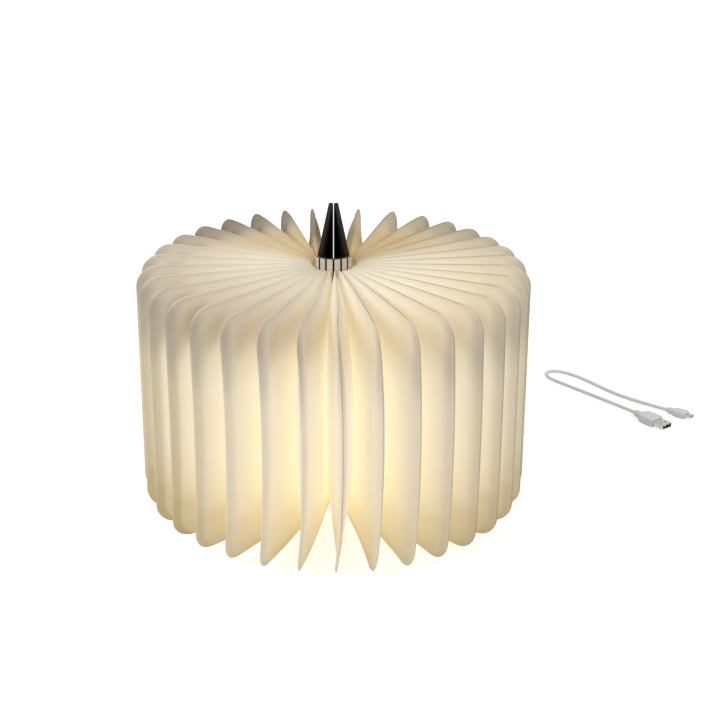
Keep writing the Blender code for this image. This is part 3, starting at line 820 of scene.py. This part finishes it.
def leaf_opening(height):
    """How far a leaf is open at this height, and the radius at which it leaves its neighbours.

    A leaf is closed along its head and tail, and its pocket swells between them.
    """
    upper = height > LEAF_HEIGHT / 2
    depth = LEAF_HEIGHT - height if upper else height
    closure = HEAD_CLOSURE if upper else TAIL_CLOSURE
    opening = math.sin(math.pi / 2 * min(1, depth / closure))
    rise = max(0, depth - closure) / (LEAF_HEIGHT / 2 - closure)
    return opening, VALLEY_START + (VALLEY_END - VALLEY_START) * (1 - (1 - rise) ** VALLEY_RISE)


def leaf_lean(place, radius, height):
    """The angle by which the fan leans sideways at a place, counted in leaves from its middle.

    It leans one way round in front and the other way behind, and not at all by the covers. In
    front the outer ends of head and tail stand straighter than the rest.
    """
    share = math.cos(math.pi * place / LEAF_COUNT_EACH_SIDE)
    share *= min(1, (LEAF_COUNT_EACH_SIDE + 0.5 - abs(place)) / LEAN_FADE)
    if share > 0:
        middle = 1 - (2 * height / LEAF_HEIGHT - 1) ** 2
        pull = (1 - LEAN_HEAD_LOSS * height / LEAF_HEIGHT) * (1 - middle ** LEAN_CURVE)
        share *= 1 - pull * ((radius - LEAF_ROOT) / (LEAF_REACH - LEAF_ROOT)) ** 2
    return LEAF_TWIST * share


def leaf_point(number, side, radius, share, height):
    """A point of a leaf's panel, which is on one side of it (-1 or 1).

    Its share runs from the valley (0) to the fold (1).
    """
    angle = number * LEAF_TURN
    centre = fan_angle(angle, radius)
    wedge = radius * abs(fan_angle(angle + side * LEAF_TURN / 2, radius) - centre) - LEAF_GAP / 2
    width = leaf_opening(height)[0] * (1 - 2 * share ** 2 + share ** 3)
    half = min(wedge, max(width * wedge, LEAF_SEAM / 2)) if share < 1 else 0
    place = centre + side * half / radius + leaf_lean(number + side * width / 2, radius, height)
    drop = max(0, 1 - (radius - leaf_start(number)) / HEAD_DROP_REACH) ** 2
    z = LEAF_FLOOR + height - HEAD_DROP * drop * height / LEAF_HEIGHT
    return Vector((radius * math.sin(place), -radius * math.cos(place), z))


def leaf_stations(number, height):
    """The radii of a panel's points from spine to fold, each with its share past the valley."""
    valley = leaf_opening(height)[1]
    edge = leaf_edge(number, height)
    start = leaf_start(number)
    inner = [start + (valley - start) * step / INNER_STEPS for step in range(INNER_STEPS)]
    shares = [
        1 - (1 - step / OUTER_STEPS) ** FOLD_CROWDING for step in range(OUTER_STEPS + 1)
    ]
    outer = [valley + share * (edge - valley) for share in shares]
    return [(radius, 0.0) for radius in inner] + list(zip(outer, shares))


def leaf_heights():
    corner = [
        LEAF_CORNER * (1 - math.cos(math.pi / 2 * step / CORNER_STEPS))
        for step in range(CORNER_STEPS + 1)
    ]
    body = [
        LEAF_CORNER + (LEAF_HEIGHT - 2 * LEAF_CORNER) * step / BODY_STEPS
        for step in range(1, BODY_STEPS)
    ]
    return [*corner, *body, *[LEAF_HEIGHT - row for row in reversed(corner)]]


def tone_share(share, height):
    """Where a place lies for its paper's tones: a leaf's closed head and tail count as fold."""
    curve = 1 if height > LEAF_HEIGHT / 2 else TAIL_TONE_CURVE
    return 1 - leaf_opening(height)[0] ** curve * (1 - share)


def add_values(mesh, name, kind, key, values):
    """A named value at each point of a mesh, which its material reads."""
    mesh.attributes.new(name, kind, "POINT").data.foreach_set(key, values)


def leaf_mesh(number):
    """Both panels of a leaf as one sheet, from spine to fold and back."""
    rows = []
    for height in leaf_heights():
        stations = leaf_stations(number, height)
        row = [(-1, *station) for station in stations]
        row += [(1, *station) for station in reversed(stations[:-1])]
        rows.append([(leaf_point(number, side, r, s, height), r, s, height) for side, r, s in row])
    columns = len(rows[0])
    faces = [
        (row * columns + column, row * columns + column + 1,
         (row + 1) * columns + column + 1, (row + 1) * columns + column)
        for row in range(len(rows) - 1) for column in range(columns - 1)
    ]
    points = [point for row in rows for point in row]
    mesh = bpy.data.meshes.new("leaf")
    mesh.from_pydata([place for place, _, _, _ in points], [], faces)
    add_values(mesh, "leaf_place", "FLOAT_VECTOR", "vector", [
        value for _, radius, _, height in points for value in (radius, height, LEAF_STEP * number)
    ])
    add_values(mesh, "leaf_share", "FLOAT", "value", [
        tone_share(share, height) for _, _, share, height in points
    ])
    add_values(mesh, "leaf_inward", "FLOAT", "value", [
        leaf_edge(number, height) - radius for _, radius, _, height in points
    ])
    mesh.polygons.foreach_set("use_smooth", [True] * len(faces))
    fold = columns // 2
    for edge in mesh.edges:
        if all(vertex % columns == fold for vertex in edge.vertices):
            edge.use_edge_sharp = True
    return mesh


def leaf_name(number):
    if number == 0:
        return "leaf_middle"
    return f"leaf_{'right' if number > 0 else 'left'}_{abs(number):02d}"


def make_leaf(number):
    """One pocket of paper, open towards the spine and folded at its outer edge."""
    node = leaf_name(number)
    mesh = leaf_mesh(number)
    leaf = add_object(f"{node}_paper", mesh)
    mesh.materials.append(FINISHES["leaf outside"])
    mesh.materials.append(FINISHES["leaf inside"])
    thick = leaf.modifiers.new("thickness", "SOLIDIFY")
    thick.thickness = PAPER
    thick.offset = -1
    thick.material_offset = 1
    apply_modifiers(leaf)
    body, joint = (node, f"{node}_hinge") if number else ("spine", "back_cover_hinge")
    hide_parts(node)
    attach(leaf, body)
    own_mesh(leaf)


# Covers and spine

def cover_place(side, along, across):
    """The floor point of a cover at rest, from its hinge outwards and towards its page side."""
    x = COVER_PIVOT.x - along * math.sin(COVER_LEAN) + across * math.cos(COVER_LEAN)
    y = COVER_PIVOT.y + along * math.cos(COVER_LEAN) + across * math.sin(COVER_LEAN)
    return Vector((side * x, y, 0))


def cover_matrix(side):
    """From a cover's own lengths (along, across to the page side, up) to the lamp's frame."""
    origin = cover_place(side, 0, 0)
    along = cover_place(side, 1, 0) - origin
    across = cover_place(side, 0, 1) - origin
    matrix = Matrix.Identity(4)
    for column, axis in enumerate((along, across, Vector((0, 0, 1)), origin)):
        for row in range(3):
            matrix[row][column] = axis[row]
    return matrix


def make_cover(side, name):
    """A board wrapped in black cloth, with soft edges and rounded fore-edge corners."""
    bm = bmesh.new()
    add_block(
        bm, (BOARD_START - SEAT_GAP, COVER_SKIN_BACK, 0),
        (COVER_REACH, BOARD_FACE + WRAP_RISE, COVER_HEIGHT),
    )
    fore = [
        edge for edge in bm.edges
        if all(abs(vert.co.x - COVER_REACH) < SAME_PLACE for vert in edge.verts)
        and abs(edge.verts[0].co.z - edge.verts[1].co.z) < SAME_PLACE
    ]
    bevel_edges(bm, fore, COVER_CORNER, COVER_CORNER_STEPS)
    rims = [
        edge for edge in bm.edges
        if len(edge.link_faces) == 2
        and any(abs(face.normal.y) > BROAD_SIDE for face in edge.link_faces)
    ]
    bevel_edges(bm, rims, COVER_EDGE, COVER_EDGE_STEPS)
    cover = new_piece(
        f"{name}_cover_cloth", bm, "cloth", f"{name}_cover", cover_matrix(side)
    )
    if side > 0:
        cut_socket_slot(cover)
    smooth_faces(cover, sharp_past=50)
    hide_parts(f"{name}_cover_skin", f"{name}_cover_board")


def cut_socket_slot(cover):
    (back, face), middle = SOCKET_SLOT_ACROSS, COVER_HEIGHT / 2
    cut_block(
        cover, (COVER_REACH - SOCKET_SLOT_DEPTH, back, middle - SOCKET_SLOT_HALF),
        (COVER_REACH + SLOT_CUT_PAST, face, middle + SOCKET_SLOT_HALF), cover_matrix(1),
    )


def make_cloth_strip(name, start, end, body):
    """A cloth strip between two hinge lines, with rounded edges that meet the next strip."""
    heading = (end - start).normalized()
    normal = Vector((-heading.y, heading.x))
    outline = []
    for centre, first in ((end, -math.pi / 2), (start, math.pi / 2)):
        for step in range(CLOTH_EDGE_STEPS + 1):
            turn = first + math.pi * step / CLOTH_EDGE_STEPS
            outline.append(
                centre + SKIN / 2 * (math.cos(turn) * heading + math.sin(turn) * normal)
            )
    bm = loft([[(*point, z) for point in outline] for z in (0, COVER_HEIGHT)])
    strip = new_piece(name, bm, "cloth", body)
    smooth_faces(strip, sharp_past=50)
    return strip


def spine_hinge(side, step):
    """The floor point of a hinge line, counted from the middle of the bent spine."""
    turn = step * SLAT_TURN
    return Vector((side * PIVOT_RADIUS * math.sin(turn), -PIVOT_RADIUS * math.cos(turn)))


def make_spine_cloth():
    """The black cloth of the spine: a strip on each slat and one on each cover."""
    for side, name in ((-1, "front"), (1, "back")):
        for order in range(SLATS_EACH_SIDE):
            number = SLATS_EACH_SIDE - order if side < 0 else SLATS_EACH_SIDE + order + 1
            make_cloth_strip(
                f"spine_cloth_{number}", spine_hinge(side, order), spine_hinge(side, order + 1),
                f"slat_{number}",
            )
        edge = cover_place(side, BOARD_START, (COVER_SKIN_FACE + COVER_SKIN_BACK) / 2)
        make_cloth_strip(
            f"{name}_joint_cloth", spine_hinge(side, SLATS_EACH_SIDE), edge.xy, f"{name}_cover"
        )
    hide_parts("spine_skin")


# Lead

def smooth_route(points, step):
    """Points about a step apart on a smooth curve through these points."""
    padded = [2 * points[0] - points[1], *points, 2 * points[-1] - points[-2]]
    route = [points[0]]
    for before, start, end, after in zip(padded, padded[1:], padded[2:], padded[3:]):
        steps = max(1, round((end - start).length / step))
        for count in range(1, steps + 1):
            t = count / steps
            bend = (
                2 * start + (end - before) * t
                + (2 * before - 5 * start + 4 * end - after) * t ** 2
                + (3 * start - before - 3 * end + after) * t ** 3
            )
            route.append(bend / 2)
    return route


def lead_points():
    """The lead's own points, which rise at both ends to the middle of the plugs."""
    turn = Matrix.Rotation(LEAD_HEADING, 2)
    last = len(LEAD_ROUTE) - 1
    points = []
    for order, place in enumerate(LEAD_ROUTE):
        x, y = Vector(LEAD_BEND) + turn @ Vector(place)
        z = LEAD_DIAMETER / 2
        for height, distance in ((PLUG_A_HEIGHT, order), (PLUG_MICRO_HEIGHT, last - order)):
            share = min(1, max(0, 1 - (distance - 1) / LEAD_RISE_POINTS))
            z += (height - LEAD_DIAMETER) / 2 * share ** 2 * (3 - 2 * share)
        points.append(Vector((x, y, z)))
    return points


def plug_matrix(end, before):
    heading = end - before
    return Matrix.Translation(end) @ Matrix.Rotation(math.atan2(heading.y, heading.x), 4, "Z")


def rounded_section(x, half_width, half_height, corner):
    """A rounded rectangle across a plug, at a distance along it."""
    corner = min(corner, half_width, half_height)
    points = []
    for quarter, (y, z) in enumerate(((1, 1), (-1, 1), (-1, -1), (1, -1))):
        for step in range(PLUG_CORNER_STEPS + 1):
            turn = math.pi / 2 * (quarter + step / PLUG_CORNER_STEPS)
            points.append(Vector((
                x, y * (half_width - corner) + corner * math.cos(turn),
                z * (half_height - corner) + corner * math.sin(turn),
            )))
    return points


def make_plug_body(name, outline, matrix, finish, node):
    bm = loft([rounded_section(*values) for values in outline])
    body = new_piece(name, bm, finish, "spine", matrix)
    smooth_faces(body, sharp_past=55)
    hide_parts(node)
    return body


def make_shell(name, sizes, windows, matrix, node):
    """A thin drawn shell, open at its mouth, with latch windows through both broad sides."""
    start, length, half_width, half_height, wall = sizes
    corner = half_height * SHELL_CORNER
    inner = (half_width - wall, half_height - wall, corner * SHELL_INNER_CORNER)
    mouth = start + length
    lip = wall * SHELL_LIP
    bm = loft([
        rounded_section(start, half_width, half_height, corner),
        rounded_section(mouth - wall / 2, half_width, half_height, corner),
        rounded_section(mouth, half_width - lip, half_height - lip, corner),
        rounded_section(mouth, *inner),
        rounded_section(start + wall, *inner),
    ])
    shell = new_piece(name, bm, "steel", "spine", matrix)
    for along, across, size in windows:
        cut_block(
            shell, (along - size / 2, across - size / 2, -half_height - wall),
            (along + size / 2, across + size / 2, half_height + wall), matrix,
        )
    smooth_faces(shell, sharp_past=40)
    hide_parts(node)
    return shell


def make_tongue(matrix):
    """The white contact block inside the larger plug, with four gold contacts."""
    bm = bmesh.new()
    add_block(bm, TONGUE_LOW, TONGUE_HIGH)
    tip = TONGUE_HIGH.x - CONTACT_INSET
    for order, length in enumerate(CONTACT_LENGTHS):
        y = (order - (len(CONTACT_LENGTHS) - 1) / 2) * CONTACT_PITCH
        verts = add_block(
            bm, (tip - length, y - CONTACT_WIDTH / 2, TONGUE_LOW.z - CONTACT_RISE),
            (tip, y + CONTACT_WIDTH / 2, TONGUE_LOW.z + CONTACT_SINK),
        )
        for face in {face for vert in verts for face in vert.link_faces}:
            face.material_index = 1
    tongue = new_piece("usb_a_contact_block", bm, "vinyl", "spine", matrix)
    tongue.data.materials.append(FINISHES["gold"])
    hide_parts("usb_a_tongue")
    return tongue


def make_lead():
    """The lead on the floor, with a plug at each end."""
    points = lead_points()
    route = smooth_route(points, LEAD_STEP)
    curve = bpy.data.curves.new("charging_lead", "CURVE")
    curve.dimensions = "3D"
    curve.bevel_depth = LEAD_DIAMETER / 2
    curve.bevel_resolution = 5
    curve.use_fill_caps = True
    spline = curve.splines.new("POLY")
    spline.points.add(len(route) - 1)
    for point, place in zip(spline.points, route):
        point.co = (*place, 1)
    spline.use_smooth = True
    curve.materials.append(FINISHES["vinyl"])
    lead = add_object("charging_lead", curve)
    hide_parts("charge_cord")
    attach(lead, "spine")
    at_a = plug_matrix(points[0], points[1])
    at_micro = plug_matrix(points[-1], points[-2])
    pieces = [
        make_plug_body("usb_a_moulding", PLUG_A_BODY, at_a, "vinyl", "usb_a_body"),
        make_shell("usb_a_plug_shell", SHELL_A, WINDOWS_A, at_a, "usb_a_shell"),
        make_tongue(at_a),
        make_plug_body(
            "micro_usb_moulding", PLUG_MICRO_BODY, at_micro, "cool vinyl", "micro_usb_body"
        ),
        make_shell(
            "micro_usb_plug_shell", SHELL_MICRO, WINDOWS_MICRO, at_micro, "micro_usb_shell"
        ),
    ]


# Stage

def seen_directly(tree):
    """1 where a ray comes from the camera or by way of gloss or glass, and 0 in other light."""
    path = add_node(tree, "ShaderNodeLightPath").outputs
    return maths(tree, "MAXIMUM", path["Is Camera Ray"], maths(
        tree, "MAXIMUM", path["Is Glossy Ray"], path["Is Transmission Ray"]
    ))


def make_floor():
    bm = bmesh.new()
    bmesh.ops.create_grid(bm, x_segments=1, y_segments=1, size=FLOOR_SIZE)
    mesh = mesh_of("floor", bm)
    floor = add_object("floor", mesh)
    material = bpy.data.materials.new("pale floor")
    material.use_nodes = True
    tree = material.node_tree
    tree.nodes.clear()
    diffuse = add_node(tree, "ShaderNodeBsdfDiffuse", {"Color": (FLOOR_GREY,) * 3})
    lift = add_node(tree, "ShaderNodeEmission", {
        "Color": (1, 1, 1), "Strength": product(tree, seen_directly(tree), FLOOR_LIFT),
    })
    both = add_node(tree, "ShaderNodeAddShader", {0: diffuse.outputs[0], 1: lift.outputs[0]})
    add_node(tree, "ShaderNodeOutputMaterial", {"Surface": both.outputs[0]})
    mesh.materials.append(material)


def make_world():
    world = bpy.data.worlds.new("studio")
    world.use_nodes = True
    tree = world.node_tree
    background = tree.nodes["Background"]
    background.inputs["Color"].default_value = (1, 1, 1, 1)
    rise = product(tree, seen_directly(tree), 1 - WORLD_LEVEL)
    put(tree, background.inputs["Strength"], maths(tree, "ADD", rise, WORLD_LEVEL))
    bpy.context.scene.world = world


def make_lights():
    for name, place, size, power in LIGHTS:
        lamp = bpy.data.lights.new(name, "AREA")
        lamp.size = size
        lamp.energy = power
        holder = add_object(name, lamp)
        holder.location = place
        holder.rotation_euler = (CAMERA_AIM - Vector(place)).to_track_quat("-Z", "Y").to_euler()


place_camera()
FIBRES, WEAVE, GRAIN = fibre_effect(), weave_effect(), grain_effect()
FINISHES = {
    "leaf outside": leaf_finish("leaf paper outside", OUTER_GLOW),
    "leaf inside": leaf_finish("leaf paper inside", INNER_GLOW),
    "endpaper": paper_finish(),
    "cloth": cloth_finish(),
    "slat": slat_finish(),
    "vinyl": moulded_finish(
        "white vinyl", dark=(0.66, 0.66, 0.69), light=(0.78, 0.78, 0.80), roughness=0.42
    ),
    "cool vinyl": moulded_finish(
        "cool white vinyl", dark=(0.60, 0.64, 0.69), light=(0.72, 0.76, 0.80), roughness=0.42
    ),
    "sensor": moulded_finish(
        "black moulding", dark=(0.015, 0.015, 0.016), light=(0.035, 0.035, 0.036), roughness=0.45
    ),
    "circuit": moulded_finish(
        "white solder mask", dark=(0.70, 0.72, 0.68), light=(0.82, 0.83, 0.80), roughness=0.38
    ),
    "steel": metal_finish(
        "plated steel", dark=(0.42, 0.41, 0.38), light=(0.62, 0.61, 0.57), roughness=0.24,
        stretch=3.0,
    ),
    "gold": metal_finish(
        "gold contact", dark=(0.66, 0.46, 0.16), light=(0.86, 0.64, 0.26), roughness=0.25
    ),
    "magnet": metal_finish(
        "nickel plating", dark=(0.46, 0.45, 0.43), light=(0.62, 0.61, 0.58), roughness=0.30
    ),
    "pouch": metal_finish(
        "cell pouch", dark=(0.50, 0.52, 0.55), light=(0.66, 0.68, 0.70), roughness=0.38,
        stretch=4.0,
    ),
    "left strip": strip_finish("left light strip", -1),
    "right strip": strip_finish("right light strip", 1),
}
make_lead()
for leaf_number in range(-LEAF_COUNT_EACH_SIDE, LEAF_COUNT_EACH_SIDE + 1):
    make_leaf(leaf_number)
make_cover(-1, "front")
make_cover(1, "back")
make_spine_cloth()

NODE_FINISHES = {
    "front_endpaper": "endpaper", "back_endpaper": "endpaper",
    "front_cover_magnet": "magnet", "back_cover_magnet": "magnet",
    "battery_cell": "pouch", "charge_board": "circuit", "lid_sensor": "sensor",
    "usb_socket": "steel", "led_strip_left": "left strip", "led_strip_right": "right strip",
    **{f"slat_{number}": "slat" for number in range(1, 2 * SLATS_EACH_SIDE + 1)},
}
for node_name, finish_name in NODE_FINISHES.items():
    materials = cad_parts[node_name].data.materials
    materials.clear()
    materials.append(FINISHES[finish_name])

make_floor()
make_world()
make_lights()
bpy.context.scene.view_settings.view_transform = "Standard"
